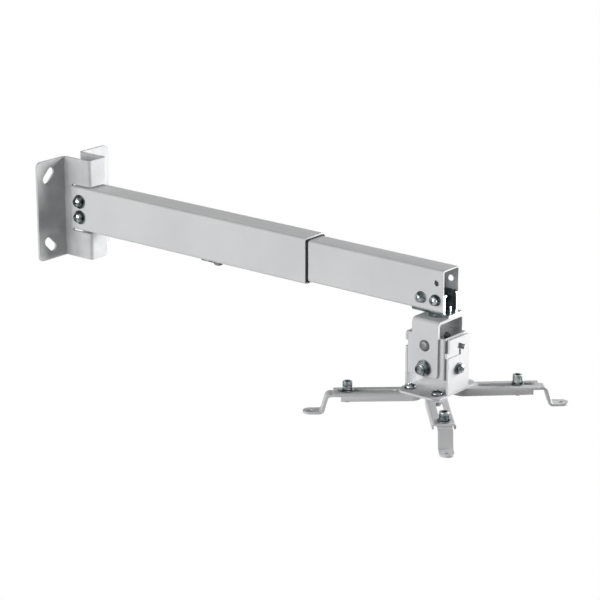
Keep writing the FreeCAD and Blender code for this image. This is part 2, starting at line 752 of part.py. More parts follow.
def tilt_hardware():
    """Two rivets that the cradle tilts on, and the bolt that locks it."""
    side = "(yoke_width / 2)"
    wall = f"({cradle_half} - cradle_sheet)"
    rivets = []
    for axis, sign in (("-y", "-"), ("+y", "")):
        shank = f"({side} - {wall} + rivet_end_height)"
        rod = cylinder("rivet_shank", shank, z=f"-{shank}")
        end = cylinder("rivet_end", "rivet_end_height", z=f"-{shank}")
        rivet = fuse(cylinder("rivet_head", "rivet_head_height"), rod, end)
        rivets.append(at(rivet, axis, swivel_x, f"{sign}{side}", tilt_z))
    group("tilt_rivets", rivets)
    seat = f"({side} + washer_thickness)"
    length = f"(2 * {seat} + big_nut_height + big_nut_collar_height)"
    group("tilt_bolt", [at(big_bolt(length), "+y", swivel_x, seat, tilt_bolt_z)])
    washers = []
    for axis, sign in (("-y", "-"), ("+y", "")):
        washer = ring("big_washer", "swivel_shank", "washer_thickness")
        washers.append(at(washer, axis, swivel_x, f"{sign}{side}", tilt_bolt_z))
    group("tilt_washers", washers)
    nut = lock_nut("big_nut", "swivel_shank")
    group("tilt_nut", [at(nut, "-y", swivel_x, f"-{seat}", tilt_bolt_z)])


def tilt_cradle():
    """Open box between the yoke's legs, with arc slots for the tilt bolt."""
    body = new_body("tilt_cradle", x=swivel_x)
    half = cradle_half
    floor = f"({cradle_top} - cradle_height)"
    sketch = new_sketch(body, "XY_Plane", z=floor)
    rectangle(sketch, cradle_x0, cradle_x1, f"-{half}", half)
    pad(body, sketch, "cradle_height")
    fillet(body, "cradle_corner", "z", mirror_ends(cradle_x0, cradle_x1, half))
    sketch = new_sketch(body, "XY_Plane", z=f"{cradle_top} + cradle_sheet")
    thin_half = f"({half} - cradle_sheet)"
    inside = (f"{cradle_x0} + cradle_sheet", f"{cradle_x1} - cradle_sheet")
    rectangle(sketch, *inside, f"-{thin_half}", thin_half)
    pocket(body, sketch, "2 * cradle_height")
    across_hole(body, "0", tilt_z, "rivet_shank + 2 * pivot_play", "2 * yoke_width")
    tilt_slot(body)
    sketch = new_sketch(body, "YZ_Plane")
    circle(sketch, "0", roll_z, "shank")
    pocket(body, sketch, "2 * cradle_length")
    return body


def tilt_slot(body):
    """Arc slot about the tilt axis, for the tilt bolt to travel in."""
    sketch = new_sketch(body, "XZ_Plane", y=tilt_z)
    reach = number(f"{tilt_z} - {tilt_bolt_z}")
    width = number("swivel_shank / 2 + tilt_play")
    swing = math.radians(sizes["tilt_angle"] + 1)
    down = -math.pi / 2
    upright = Vector(0, 0, 1)

    def spot(radius, angle):
        return Vector(radius * math.cos(angle), radius * math.sin(angle), 0)

    start, stop = down - swing, down + swing
    round_from = start + math.pi
    for centre, radius, first, last in (
        (Vector(), reach + width, start, stop), (Vector(), reach - width, start, stop),
        (spot(reach, stop), width, stop, stop + math.pi),
        (spot(reach, start), width, round_from, round_from + math.pi),
    ):
        sketch.addGeometry(Part.ArcOfCircle(Part.Circle(centre, upright, radius), first, last))
    for first, end, second, begin in ((0, 2, 2, 1), (2, 2, 1, 2), (1, 1, 3, 1), (3, 2, 0, 1)):
        sketch.addConstraint(Sketcher.Constraint("Coincident", first, end, second, begin))
    pocket(body, sketch, "2 * yoke_width")


def roll_hardware():
    """Screw and spacer from the spider's outer end to a nut in the cradle, and a rivet at the wall end."""
    outer = f"({swivel_x} + {spider_x1})"
    thread = "(washer_thickness + spider_sheet + spider_gap_outer + cradle_sheet + nut_height)"
    screw = pan_screw(thread, "roll_head", "roll_head_height")
    group("roll_screw", [at(screw, "+x", f"{outer} + washer_thickness", "0", roll_z)])
    group("roll_washer", [at(ring("washer", "shank", "washer_thickness"), "+x", outer, "0", roll_z)])
    nut = cut(hexagon("nut_width", "nut_height"), cylinder("shank", "nut_height"))
    group("roll_nut", [at(nut, "-x", f"{swivel_x} + {cradle_x1} - cradle_sheet", "0", roll_z)])
    spacer = ring("washer", "shank + 2 * pivot_play", "spider_gap_outer - 2 * pivot_play")
    group("roll_spacer", [at(spacer, "+x", f"{swivel_x} + {cradle_x1} + pivot_play", "0", roll_z)])
    rivet_run = "(spider_sheet + spider_gap_wall + cradle_sheet)"
    rivet = fuse(cylinder("roll_head", "lock_rivet_height"), cylinder("shank", rivet_run, z=f"-{rivet_run}"),
                 cylinder("roll_head", "lock_rivet_height", z=f"-{rivet_run} - lock_rivet_height"))
    group("roll_rivet", [at(rivet, "-x", f"({swivel_x} + {spider_x0})", "0", roll_z)])


def spider_plate():
    """Square plate for the arms, folded up at both ends into the walls that the cradle hangs from."""
    body = new_body("spider_plate", x=swivel_x)
    base, top = f"({spider_top} - spider_sheet)", spider_rim
    inner0, inner1 = f"({spider_x0} + spider_sheet)", f"({spider_x1} - spider_sheet)"
    profile = new_sketch(body, "XZ_Plane")
    outline(profile, [
        (spider_x0, base), (spider_x1, base), (spider_x1, top), (inner1, top), (inner1, spider_top),
        (inner0, spider_top), (inner0, top), (spider_x0, top),
    ])
    pad(body, profile, f"2 * {spider_half}", middle=True)
    fillet(body, "spider_bend + spider_sheet", "y", [(spider_x0, base), (spider_x1, base)])
    fillet(body, "spider_bend", "y", [(inner0, spider_top), (inner1, spider_top)])
    fillet(body, "hook_corner", "x", [(spider_half, top), (f"-{spider_half}", top)])
    flat = new_sketch(body, "XY_Plane", z=base)
    side = "(spider_width / 2)"
    wing0, wing1 = f"({spider_x0} + spider_bend)", f"({spider_x1} - spider_bend)"
    clip0, clip1, clip_side = f"{wing0} + spider_clip", f"{wing1} - spider_clip", f"{side} - spider_clip"
    outline(flat, [
        (clip0, f"-{side}"), (clip1, f"-{side}"), (wing1, f"-({clip_side})"), (wing1, clip_side),
        (clip1, side), (clip0, side), (wing0, clip_side), (wing0, f"-({clip_side})"),
    ])
    pad(body, flat, "spider_sheet")
    cut_end_walls(body, top)
    for across in ("-", ""):
        for along in ("-", ""):
            sketch = new_sketch(body, "XY_Plane", z=spider_top)
            circle(sketch, f"{along}pivot_spread_x / 2", f"{across}pivot_spread_y / 2", "shank")
            pocket(body, sketch, "4 * spider_sheet")
    return body


def cut_end_walls(body, top):
    """Latch slot, slit and tab in the outer wall, hooks in the other, and the roll axis through both."""
    edge = f"-{spider_half}"
    outer_mid = f"({spider_x1} - spider_sheet / 2)"
    wall_mid = f"({spider_x0} + spider_sheet / 2)"
    slit_top = f"({yoke_top} - latch_slit_drop)"
    tab_top = f"({top} - edge_notch_height)"
    tab = new_sketch(body, "YZ_Plane", z=outer_mid)
    rectangle(tab, f"{edge} - edge_tab_reach", f"{edge} + 1", slit_top, tab_top)
    pad(body, tab, "spider_sheet", middle=True)
    stem0 = "(latch_stem_offset - latch_stem_width / 2)"
    stem1 = "(latch_stem_offset + latch_stem_width / 2)"
    bar_z = f"({yoke_top} - latch_drop)"
    slit = new_sketch(body, "YZ_Plane", z=outer_mid)
    outline(slit, [
        (f"{edge} - 1", f"{slit_top} - slit_height"), (stem1, f"{slit_top} - slit_height"), (stem1, bar_z),
        (stem0, bar_z), (stem0, slit_top), (f"{edge} - 1", slit_top),
    ])
    pocket(body, slit, "2 * spider_sheet")
    bar = new_sketch(body, "YZ_Plane", x="latch_offset", y=bar_z, z=outer_mid, turn="-latch_bar_angle")
    half_long, half_high = "latch_bar_length / 2", "latch_bar_height / 2"
    rectangle(bar, f"-{half_long}", half_long, f"-{half_high}", half_high)
    pocket(body, bar, "2 * spider_sheet")
    notch = new_sketch(body, "YZ_Plane", z=outer_mid)
    rectangle(notch, f"{edge} - 1", f"{edge} + edge_notch_depth", tab_top, f"{top} + 1")
    pocket(body, notch, "2 * spider_sheet")
    for sign in ("-", ""):
        hook = new_sketch(body, "YZ_Plane", z=wall_mid)
        rim = f"{sign}{spider_half}"
        rectangle(hook, f"{rim} - hook_notch_depth", f"{rim} + hook_notch_depth",
                  f"{top} - hook_notch_drop - hook_notch_height", f"{top} - hook_notch_drop")
        pocket(body, hook, "2 * spider_sheet")
    bore = new_sketch(body, "YZ_Plane")
    circle(bore, "0", roll_z, "shank + 2 * pivot_play")
    pocket(body, bore, "4 * cradle_length")


def arm_screws():
    """Pan head screws that the arms swing on, with their nuts under the arms."""
    spots = [(f"({swivel_x} + {a}pivot_spread_x / 2)", f"{b}pivot_spread_y / 2")
             for a in ("-", "") for b in ("-", "")]
    length = "(spider_sheet + arm_sheet + nut_height + nut_collar_height)"
    group("arm_screws", [at(pan_screw(length, "pivot_head", "pivot_head_height"), "+z", x, y, spider_top)
                         for x, y in spots])
    group("arm_screw_nuts", [at(lock_nut(), "-z", x, y, foot_top) for x, y in spots])


def arm_place(name):
    along, across = arms[name]
    return f"{swivel_x} + {along}pivot_spread_x / 2", f"{across}pivot_spread_y / 2", f"{name}_angle"


def spider_arm(name):
    """Channel open below, round about its pivot, with a long slot for the foot's bolt."""
    x, y, yaw = arm_place(name)
    body = new_body(f"arm_{name}", x, y, arm_top, turn=yaw)
    sketch = new_sketch(body, "XY_Plane")
    round_start(sketch, "arm_width / 2", "arm_length")
    pad(body, sketch, "arm_height", back=True)
    sketch = new_sketch(body, "XY_Plane", z="-arm_height")
    round_start(sketch, "arm_width / 2 - arm_sheet", "arm_length + 1")
    pocket(body, sketch, "2 * (arm_height - arm_sheet)")
    soften_rim(body, "arm_bend + arm_sheet")
    sketch = new_sketch(body, "XZ_Plane")
    rectangle(sketch, "arm_length - arm_side_cut", "arm_length + 1", "-arm_height - 1", "-arm_sheet")
    pocket(body, sketch, "2 * arm_width")
    sketch = new_sketch(body, "XY_Plane", x="(arm_slot_start + arm_slot_end) / 2")
    round_slot(sketch, "(arm_slot_end - arm_slot_start)", "arm_slot_width")
    pocket(body, sketch, "3 * arm_sheet")
    sketch = new_sketch(body, "XY_Plane")
    circle(sketch, "0", "0", "shank + 2 * pivot_play")
    pocket(body, sketch, "3 * arm_sheet")
    return body


def soften_rim(body, radius):
    """Round the bend along the channel's top rim, apart from its open end."""
    base = body.Tip
    far = number("arm_length")
    rim = [f"Edge{index}" for index, edge in enumerate(base.Shape.Edges, start=1)
           if abs(edge.BoundBox.ZMin) < 0.01 and edge.BoundBox.XMin < far - 0.01]
    feature = body.newObject("PartDesign::Fillet", body.Name + "Rim")
    feature.Base = (base, rim)
    bind(feature, Radius=radius)
    body.Tip = feature
    doc.recompute()


def spider_foot(name):
    """Slotted strip that slides in the arm, steps down and ends in a round foot with a screw hole."""
    x, y, yaw = arm_place(name)
    body = new_body(f"foot_{name}", x, y, foot_top, turn=yaw)
    toe = "(foot_hole_reach + foot_end)"
    step, sole = "(foot_hole_reach - foot_riser_back)", "(foot_sheet - foot_drop)"
    upper, lower = (step, "0"), (f"{step} + foot_riser_lean", sole)
    upper_under = (f"{step} - foot_sheet", "-foot_sheet")
    lower_under = (f"{lower[0]} - foot_sheet", "-foot_drop")
    profile = new_sketch(body, "XZ_Plane")
    outline(profile, [
        ("foot_start", "0"), upper, lower, (toe, sole),
        (toe, "-foot_drop"), lower_under, upper_under, ("foot_start", "-foot_sheet"),
    ])
    pad(body, profile, "foot_width", middle=True)
    fillet(body, "foot_bend", "y", [lower, upper_under])
    fillet(body, "foot_bend + foot_sheet", "y", [upper, lower_under])
    fillet(body, "foot_width / 2 - 0.05", "z", [(toe, "foot_width / 2"), (toe, "-foot_width / 2")])
    sketch = new_sketch(body, "XY_Plane", x="(foot_slot_start + foot_slot_end) / 2")
    round_slot(sketch, "(foot_slot_end - foot_slot_start)", "shank_hole")
    pocket(body, sketch, "3 * foot_sheet")
    sketch = new_sketch(body, "XY_Plane", z="-foot_drop")
    circle(sketch, "foot_hole_reach", "0", "foot_hole")
    pocket(body, sketch, "3 * foot_sheet")
    return body


def foot_hardware(name):
    """Bolt down through the arm's slot and the foot, which slides with the foot."""
    x, y, yaw = arm_place(name)
    bolt_x = f"{x} + {name}_bolt * cos({yaw})"
    bolt_y = f"{y} + {name}_bolt * sin({yaw})"
    nut_seat = f"({foot_top} - foot_sheet)"
    head_seat = f"({arm_top} + washer_thickness + spring_washer_thickness)"
    length = f"({head_seat} - {nut_seat} + nut_height + nut_collar_height)"
    group(f"foot_bolt_{name}", [at(cap_screw(length), "+z", bolt_x, bolt_y, head_seat)])
    spring = split_ring("spring_washer", "shank", "spring_washer_thickness")
    spring_seat = f"{arm_top} + washer_thickness"
    group(f"foot_spring_washer_{name}", [at(spring, "+z", bolt_x, bolt_y, spring_seat)])
    washer = ring("foot_washer", "shank", "washer_thickness")
    group(f"foot_washer_{name}", [at(washer, "+z", bolt_x, bolt_y, arm_top)])
    group(f"foot_nut_{name}", [at(lock_nut(), "-z", bolt_x, bolt_y, nut_seat)])


wall_plate()
outer_tube()
inner_tube()
guides()
bolt_levels = ("wall_bolt_pitch / 2", "-wall_bolt_pitch / 2")
wall_spots = [(f"{tube_start} + wall_bolt_inset", z) for z in bolt_levels]
through_bolts("wall", wall_spots, "(outer_width / 2)", "wide_washer")
arm_lock()
head_bracket()
bracket_places = [f"{inner_end} - bracket_bolt_inset - {back}" for back in ("0", "bracket_bolt_pitch")]
bracket_spots = [(x, "-bracket_bolt_drop") for x in bracket_places]
through_bolts("bracket", bracket_spots, "(inner_width / 2)", "washer")
swivel()
swivel_yoke()
tilt_hardware()
tilt_cradle()
roll_hardware()
spider_plate()
arm_screws()
for arm_name in arms:
    spider_arm(arm_name)
    spider_foot(arm_name)
    foot_hardware(arm_name)

doc.recompute()
failed = [item.Name for item in doc.Objects if "Invalid" in item.State or "Error" in item.State]
failed += [
    node.Label for node in nodes
    if node.Shape.isNull() or not node.Shape.isValid() or not node.Shape.Solids
]
if failed:
    raise RuntimeError("failed: " + ", ".join(failed))

os.makedirs("parts", exist_ok=True)
for node in nodes:
    node.Shape.exportStep(f"parts/{node.Label}.step")
print(len(nodes), "nodes,", sum(len(node.Shape.Solids) for node in nodes), "solids")
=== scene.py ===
import json
import math

import bmesh
import bpy
import numpy as np
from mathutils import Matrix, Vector


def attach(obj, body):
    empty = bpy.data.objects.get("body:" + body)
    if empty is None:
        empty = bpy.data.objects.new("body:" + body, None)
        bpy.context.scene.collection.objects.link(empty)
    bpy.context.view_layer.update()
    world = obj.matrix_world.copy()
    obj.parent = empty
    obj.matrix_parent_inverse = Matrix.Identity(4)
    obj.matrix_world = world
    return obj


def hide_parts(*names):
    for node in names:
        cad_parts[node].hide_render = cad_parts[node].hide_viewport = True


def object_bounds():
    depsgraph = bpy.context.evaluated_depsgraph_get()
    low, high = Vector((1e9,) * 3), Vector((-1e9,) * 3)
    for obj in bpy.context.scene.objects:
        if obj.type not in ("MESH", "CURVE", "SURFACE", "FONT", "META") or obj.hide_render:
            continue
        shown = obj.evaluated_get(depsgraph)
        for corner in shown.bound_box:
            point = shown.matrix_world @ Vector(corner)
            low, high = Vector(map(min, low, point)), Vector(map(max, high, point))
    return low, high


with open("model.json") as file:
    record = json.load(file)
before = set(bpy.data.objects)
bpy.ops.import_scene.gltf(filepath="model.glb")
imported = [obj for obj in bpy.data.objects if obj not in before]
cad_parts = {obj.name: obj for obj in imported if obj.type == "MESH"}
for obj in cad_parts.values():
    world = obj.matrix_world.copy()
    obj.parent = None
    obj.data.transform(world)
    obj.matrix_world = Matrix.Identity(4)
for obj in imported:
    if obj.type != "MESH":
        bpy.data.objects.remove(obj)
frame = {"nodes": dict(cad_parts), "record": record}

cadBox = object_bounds()
print("frame loaded:", len(frame["nodes"]), "nodes")

# Camera: fitted to the long edges of the two tubes in the photograph

cameraValues = {
    "place": (1.79564, -1.79741, 0.68602),
    "forward": (-0.6013, 0.7394, -0.3027),
    "lens": 137.54,  # mm on a sensor 36 mm wide
    "sensor": 36.0,
    "farEnd": 60,
}


def makeCamera(values):
    camera = bpy.data.objects.new("camera", bpy.data.cameras.new("camera"))
    camera.data.lens = values["lens"]
    camera.data.sensor_width = values["sensor"]
    camera.data.clip_end = values["farEnd"]
    camera.location = values["place"]
    camera.rotation_euler = Vector(values["forward"]).to_track_quat("-Z", "Y").to_euler()
    bpy.context.scene.collection.objects.link(camera)
    bpy.context.scene.camera = camera


makeCamera(cameraValues)
bpy.context.scene.view_settings.view_transform = "Standard"
print("camera set")

# Finishes. Each one is a small node tree on Object coordinates.

noiseValues = {  # shared by every finish
    "toneDetail": 3,
    "toneEdges": (0.35, 0.65),  # noise up to the first is all dark, and from the second on all light
    "peelDetail": 2,
}
coatFinish = {  # silver grey powder coat: fine orange peel and a faint change of tone
    "light": (0.625, 0.63, 0.635),
    "dark": (0.585, 0.59, 0.60),
    "toneScale": 14.0,
    "peelScale": 1500.0,
    "peelDepth": 0.00003,
    "peelStrength": 0.25,
    "roughness": (0.36, 0.46),
    "metallic": 0.0,
    "specular": 0.1,
}
paintedShadeWallCoatFinish = {  # the same coat on the wall plate, made a little darker as painted shade, and duller there
    "light": (0.58, 0.585, 0.59),
    "dark": (0.49, 0.495, 0.505),
    "toneScale": 38.0,
    "peelScale": 1500.0,
    "peelDepth": 0.00003,
    "peelStrength": 0.25,
    "roughness": (0.5, 0.62),
    "metallic": 0.0,
    "specular": 0.1,
}
zincFinish = {  # bright zinc plate, slightly blue in places
    "light": (0.38, 0.41, 0.415),
    "dark": (0.025, 0.04, 0.045),
    "toneScale": 160.0,
    "peelScale": 2600.0,
    "peelDepth": 0.00002,
    "peelStrength": 0.2,
    "roughness": (0.06, 0.16),
    "metallic": 1.0,
    "specular": 0.5,
}
rivetFinish = {  # plain steel rivets, dull
    "light": (0.17, 0.174, 0.178),
    "dark": (0.12, 0.124, 0.128),
    "toneScale": 240.0,
    "peelScale": 2200.0,
    "peelDepth": 0.00003,
    "peelStrength": 0.3,
    "roughness": (0.4, 0.55),
    "metallic": 0.9,
    "specular": 0.5,
}
blackZincFinish = {  # black zinc plate with a cold green tint
    "light": (0.24, 0.285, 0.295),
    "dark": (0.09, 0.11, 0.115),
    "toneScale": 120.0,
    "peelScale": 2400.0,
    "peelDepth": 0.00002,
    "peelStrength": 0.25,
    "roughness": (0.26, 0.4),
    "metallic": 0.7,
    "specular": 0.5,
}
plasticFinish = {  # black moulded guides
    "light": (0.03, 0.03, 0.032),
    "dark": (0.018, 0.018, 0.02),
    "toneScale": 90.0,
    "peelScale": 1800.0,
    "peelDepth": 0.00003,
    "peelStrength": 0.3,
    "roughness": (0.45, 0.6),
    "metallic": 0.0,
    "specular": 0.1,
}
paintedCutHighlight = {  # painted highlight: the bracket's sheared ends that face +X are painted bright
    "from": (0.8, 0.98),  # how far the normal has turned along X where the painted highlight starts and is full
    "colour": (0.85, 0.87, 0.88),
}
mixSockets = {"share": 0, "first": 6, "second": 7, "result": 2}  # a Mix node's places for colours


def makeFinish(name, values):
    # One soft noise sets colour and roughness together, and a much finer one bumps the surface
    material = bpy.data.materials.new(name)
    material.use_nodes = True
    nodes, links = material.node_tree.nodes, material.node_tree.links
    shader = nodes["Principled BSDF"]
    shader.inputs["Metallic"].default_value = values["metallic"]
    shader.inputs["Specular IOR Level"].default_value = values["specular"]
    place = nodes.new("ShaderNodeTexCoord").outputs["Object"]

    def noise(scale, detail):
        texture = nodes.new("ShaderNodeTexNoise")
        texture.inputs["Scale"].default_value = scale
        texture.inputs["Detail"].default_value = detail
        links.new(place, texture.inputs["Vector"])
        return texture.outputs["Fac"]

    tone = noise(values["toneScale"], noiseValues["toneDetail"])
    ramp = nodes.new("ShaderNodeValToRGB")
    ends = zip(ramp.color_ramp.elements, noiseValues["toneEdges"], (values["dark"], values["light"]))
    for element, position, colour in ends:
        element.position = position
        element.color = (*colour, 1)
    links.new(tone, ramp.inputs["Fac"])
    links.new(ramp.outputs["Color"], shader.inputs["Base Color"])

    gloss = nodes.new("ShaderNodeMapRange")
    gloss.inputs["To Min"].default_value, gloss.inputs["To Max"].default_value = values["roughness"]
    links.new(tone, gloss.inputs["Value"])
    links.new(gloss.outputs["Result"], shader.inputs["Roughness"])

    bump = nodes.new("ShaderNodeBump")
    bump.inputs["Strength"].default_value = values["peelStrength"]
    bump.inputs["Distance"].default_value = values["peelDepth"]
    links.new(noise(values["peelScale"], noiseValues["peelDetail"]), bump.inputs["Height"])
    links.new(bump.outputs["Normal"], shader.inputs["Normal"])
    return material


def paintCutHighlight(material, values):
    # Painted highlight: the colour turns bright where the normal points along +X, towards the key light
    nodes, links = material.node_tree.nodes, material.node_tree.links
    shader = nodes["Principled BSDF"]
    tone = shader.inputs["Base Color"].links[0].from_socket
    split = nodes.new("ShaderNodeSeparateXYZ")
    links.new(nodes.new("ShaderNodeTexCoord").outputs["Normal"], split.inputs["Vector"])
    share = nodes.new("ShaderNodeMapRange")
    share.inputs["From Min"].default_value, share.inputs["From Max"].default_value = values["from"]
    links.new(split.outputs["X"], share.inputs["Value"])
    mix = nodes.new("ShaderNodeMix")
    mix.data_type = "RGBA"
    links.new(share.outputs["Result"], mix.inputs[mixSockets["share"]])
    links.new(tone, mix.inputs[mixSockets["first"]])
    mix.inputs[mixSockets["second"]].default_value = (*values["colour"], 1)
    links.new(mix.outputs[mixSockets["result"]], shader.inputs["Base Color"])


coat = makeFinish("powderCoat", coatFinish)
# painted shade: the wall plate's coat is darker than the rest of the coat
paintedShadeWallCoat = makeFinish("paintedShadeWallCoat", paintedShadeWallCoatFinish)
zinc = makeFinish("brightZinc", zincFinish)
rivetSteel = makeFinish("rivetSteel", rivetFinish)
blackZinc = makeFinish("blackZinc", blackZincFinish)
blackPlastic = makeFinish("blackPlastic", plasticFinish)
# the bracket's black zinc, with a painted highlight on its ends that face +X
bracketZinc = makeFinish("bracketZinc", blackZincFinish)
paintCutHighlight(bracketZinc, paintedCutHighlight)
print("finishes made")

# What each node rides on, which slot it has and what it wears

bodies = frame["record"]["behaviour"]["bodies"]
bodyOf = {node: body for body, names in bodies.items() for node in names}
slotOf = {part["node"]: part["material_slot"] for part in frame["record"]["subparts"]}
slotOf["lock_strip"] = "zinc"  # bright in the photograph, unlike the coated sheets
finishOf = {"coat": coat, "zinc": zinc, "dark_zinc": blackZinc, "black_plastic": blackPlastic}
ownFinish = {
    "head_bracket": bracketZinc,
    # the wall plate wears the coat darkened as painted shade
    "wall_plate": paintedShadeWallCoat,
    "tilt_rivets": rivetSteel,
    "roll_rivet": rivetSteel,
    "lock_rivet": rivetSteel,
}


def wear(piece, node):
    piece.data.materials.clear()
    piece.data.materials.append(ownFinish.get(node, finishOf[slotOf[node]]))


for nodeName, nodeObject in frame["nodes"].items():
    wear(nodeObject, nodeName)


def standFor(node, data, smoothBelow):
    # A new piece that moves with the node's body, is shown in its place and wears the node's finish
    piece = bpy.data.objects.new(node + "_piece", data)
    bpy.context.scene.collection.objects.link(piece)
    data.shade_smooth()
    data.set_sharp_from_angle(angle=math.radians(smoothBelow))
    wear(piece, node)
    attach(piece, bodyOf[node])
    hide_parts(node)
    return piece


# Sheet metal and tubes: the CAD's own shape with its cut edges broken by a small round

edgeValues = {
    "weld": 0.000001,
    "flat": 0.2,  # degrees: faces that lie in one plane are joined
    "sharp": 32.0,  # degrees: edges sharper than this are rounded
    "steps": 2,
    "round": {
        "wall_plate": 0.0004,
        "inner_tube": 0.00025,
        "head_bracket": 0.00035,
        "swivel_yoke": 0.00045,
        "tilt_cradle": 0.0003,
        "spider_plate": 0.0003,
        "lock_strip": 0.0003,
    },
    "limbRound": 0.0003,  # the four arms and the four feet
}


def weldedCopy(node):
    # The CAD's triangles are loose, so those of a copy are joined at their corners
    shape = bmesh.new()
    shape.from_mesh(frame["nodes"][node].data)
    bmesh.ops.remove_doubles(shape, verts=shape.verts, dist=edgeValues["weld"])
    return shape


def softened(node, radius):
    # The node's shape with its flat triangles joined and a round of the radius on each sharp edge
    shape = weldedCopy(node)
    flat = math.radians(edgeValues["flat"])
    bmesh.ops.dissolve_limit(shape, angle_limit=flat, verts=shape.verts, edges=shape.edges)
    bmesh.ops.connect_verts_concave(shape, faces=shape.faces)
    data = bpy.data.meshes.new(node + "_soft")
    shape.to_mesh(data)
    shape.free()
    bevel = standFor(node, data, edgeValues["sharp"]).modifiers.new("edge", "BEVEL")
    bevel.width = radius
    bevel.segments = edgeValues["steps"]
    bevel.limit_method = "ANGLE"
    bevel.angle_limit = math.radians(edgeValues["sharp"])
    bevel.harden_normals = True


limbs = [name for name in frame["nodes"] if name.startswith(("arm_", "foot_")) and bodyOf[name] == name]
for nodeName, edgeRadius in edgeValues["round"].items():
    softened(nodeName, edgeRadius)
for nodeName in limbs:
    softened(nodeName, edgeValues["limbRound"])
print("sheet metal softened")

# Fasteners. Each is drawn along its own axis from its low end at zero, and is then turned to its place.

mm = 0.001
wide = 1.0  # stands for no limit on a radius
turnedValues = {"columns": 96, "smooth": 28.0}  # steps round the axis, and degrees
turns = {  # matrices that turn the drawn axis, Z, to the way the piece points
    "+z": np.array([[1, 0, 0], [0, 1, 0], [0, 0, 1]]),
    "-z": np.array([[1, 0, 0], [0, -1, 0], [0, 0, -1]]),
    "-y": np.array([[1, 0, 0], [0, 0, -1], [0, 1, 0]]),
    "+y": np.array([[1, 0, 0], [0, 0, 1], [0, -1, 0]]),
    "+x": np.array([[0, 0, 1], [0, 1, 0], [-1, 0, 0]]),
    "-x": np.array([[0, 0, -1], [0, 1, 0], [1, 0, 0]]),
}


def solidBoxes(node):
    # The box of every separate solid in a node, as its low and its high corner
    shape = weldedCopy(node)
    seen, boxes = set(), []
    for first in shape.verts:
        if first in seen:
            continue
        seen.add(first)
        waiting, points = [first], []
        while waiting:
            vert = waiting.pop()
            points.append(tuple(vert.co))
            for edge in vert.link_edges:
                other = edge.other_vert(vert)
                if other not in seen:
                    seen.add(other)
                    waiting.append(other)
        boxes.append((np.min(points, axis=0), np.max(points, axis=0)))
    shape.free()
    return boxes


def spot(box, axis):
    # Middle of the box's low end along the axis, its length along it and its width across
    low, high = box
    along = turns[axis][:, 2]
    spans = high - low
    length = float(np.abs(along) @ spans)
    across = float(np.max(spans * (1 - np.abs(along))))
    return (low + high) / 2 - along * length / 2, length, across


def lathe(profile, columns=turnedValues["columns"]):
    # Rows of points about the axis, one for each (flat, limit, height) of the profile. The radius at an
    # angle is the smaller of the limit and of flat / cos(angle from the middle of the nearest flat of six).
    flat, limit, height = np.array(profile, float).T[:, :, None]
    angle = np.linspace(0, 2 * math.pi, columns, endpoint=False)[None, :]
    wedge = angle % (math.pi / 3) - math.pi / 6
    radius = np.minimum(flat / np.cos(wedge), limit)
    return np.stack([radius * np.cos(angle), radius * np.sin(angle), height + 0 * angle], axis=-1)


def roundRow(radius, height):
    return (wide, radius, height)


def arcRows(radius, top, size, angles):
    # A rounded edge: the radius falls by size * (1 - cos), and the height falls short of the top by
    # size * (1 - sin)
    return [roundRow(radius - size * (1 - math.cos(a)), top - size * (1 - math.sin(a))) for a in angles]


def joinRows(rows, loop, first=None, last=None):
    # Points and faces of rows that close on themselves. A loop's last row meets its first one, and
    # otherwise a single point closes each end.
    total, columns = rows.shape[:2]
    grid = np.arange(total * columns).reshape(total, columns)
    points = rows.reshape(-1, 3)
    ahead = np.roll(grid, -1, axis=1)
    below, above = (grid, np.roll(grid, -1, axis=0)) if loop else (grid[:-1], grid[1:])
    belowAhead, aboveAhead = (ahead, np.roll(ahead, -1, axis=0)) if loop else (ahead[:-1], ahead[1:])
    faces = np.stack([below, belowAhead, aboveAhead, above], axis=-1).reshape(-1, 4).tolist()
    if not loop:
        foot, tip = len(points), len(points) + 1
        points = np.vstack([points, first, last])
        faces += [[foot, b, a] for a, b in zip(grid[0].tolist(), ahead[0].tolist())]
        faces += [[a, b, tip] for a, b in zip(grid[-1].tolist(), ahead[-1].tolist())]
    return points, faces


ringValues = {"edge": 0.25 * mm, "clearance": 0.06 * mm}


def drawRing(length, across, bore):
    # Washer or spacer: a flat ring with its four edges cut at 45 degrees
    outer, inner, edge = across / 2, bore / 2 + ringValues["clearance"], ringValues["edge"]
    rows = [(inner + edge, 0), (outer - edge, 0), (outer, edge), (outer, length - edge),
            (outer - edge, length), (inner + edge, length), (inner, length - edge), (inner, edge)]
    return joinRows(lathe([roundRow(*row) for row in rows]), True)


springValues = {
    "start": 0.16,  # radians from the cut to the section's first place
    "end": 0.04,  # radians from its last place to the cut
    "steps": 72,
    "rise": 0.3 * mm,
    "width": 2.2 * mm,
    "edge": 0.2 * mm,
}


def drawSpring(length, across):
    # Spring washer: a square section with cut corners is carried round the axis, a little short of a
    # full turn, while it climbs in proportion to the angle
    outer, inner, edge = across / 2, across / 2 - springValues["width"], springValues["edge"]
    low, high = -length / 2 + springValues["rise"], length / 2 - springValues["rise"]
    section = np.array([(outer, high - edge), (outer, low + edge), (outer - edge, low),
                        (inner + edge, low), (inner, low + edge), (inner, high - edge),
                        (inner + edge, high), (outer - edge, high)])
    finish = 2 * math.pi - springValues["end"]
    angle = np.linspace(springValues["start"], finish, springValues["steps"])[:, None]
    climb = springValues["rise"] * (angle / math.pi - 1) + length / 2
    reach, height = section[None, :, 0], section[None, :, 1]
    rows = np.stack([reach * np.cos(angle), reach * np.sin(angle), height + climb], axis=-1)
    return joinRows(rows, False, rows[0].mean(axis=0), rows[-1].mean(axis=0))


nutValues = {
    "face": 0.95,  # radius of the end faces, times half the width over the flats
    "slope": 0.09,  # height of the turned chamfer, times the width over the corners
    "bend": 5,
    "clearance": 0.05 * mm,
    "holeEdge": 0.3 * mm,
    "collar": 0.86,  # radius of the collar, times half the width over the flats
    "collarStep": 0.01 * mm,
    "collarEdge": 0.7 * mm,
    "collarBend": (0.4, math.pi / 2, 4),  # first and last angle of its rounded edge, and rows
}


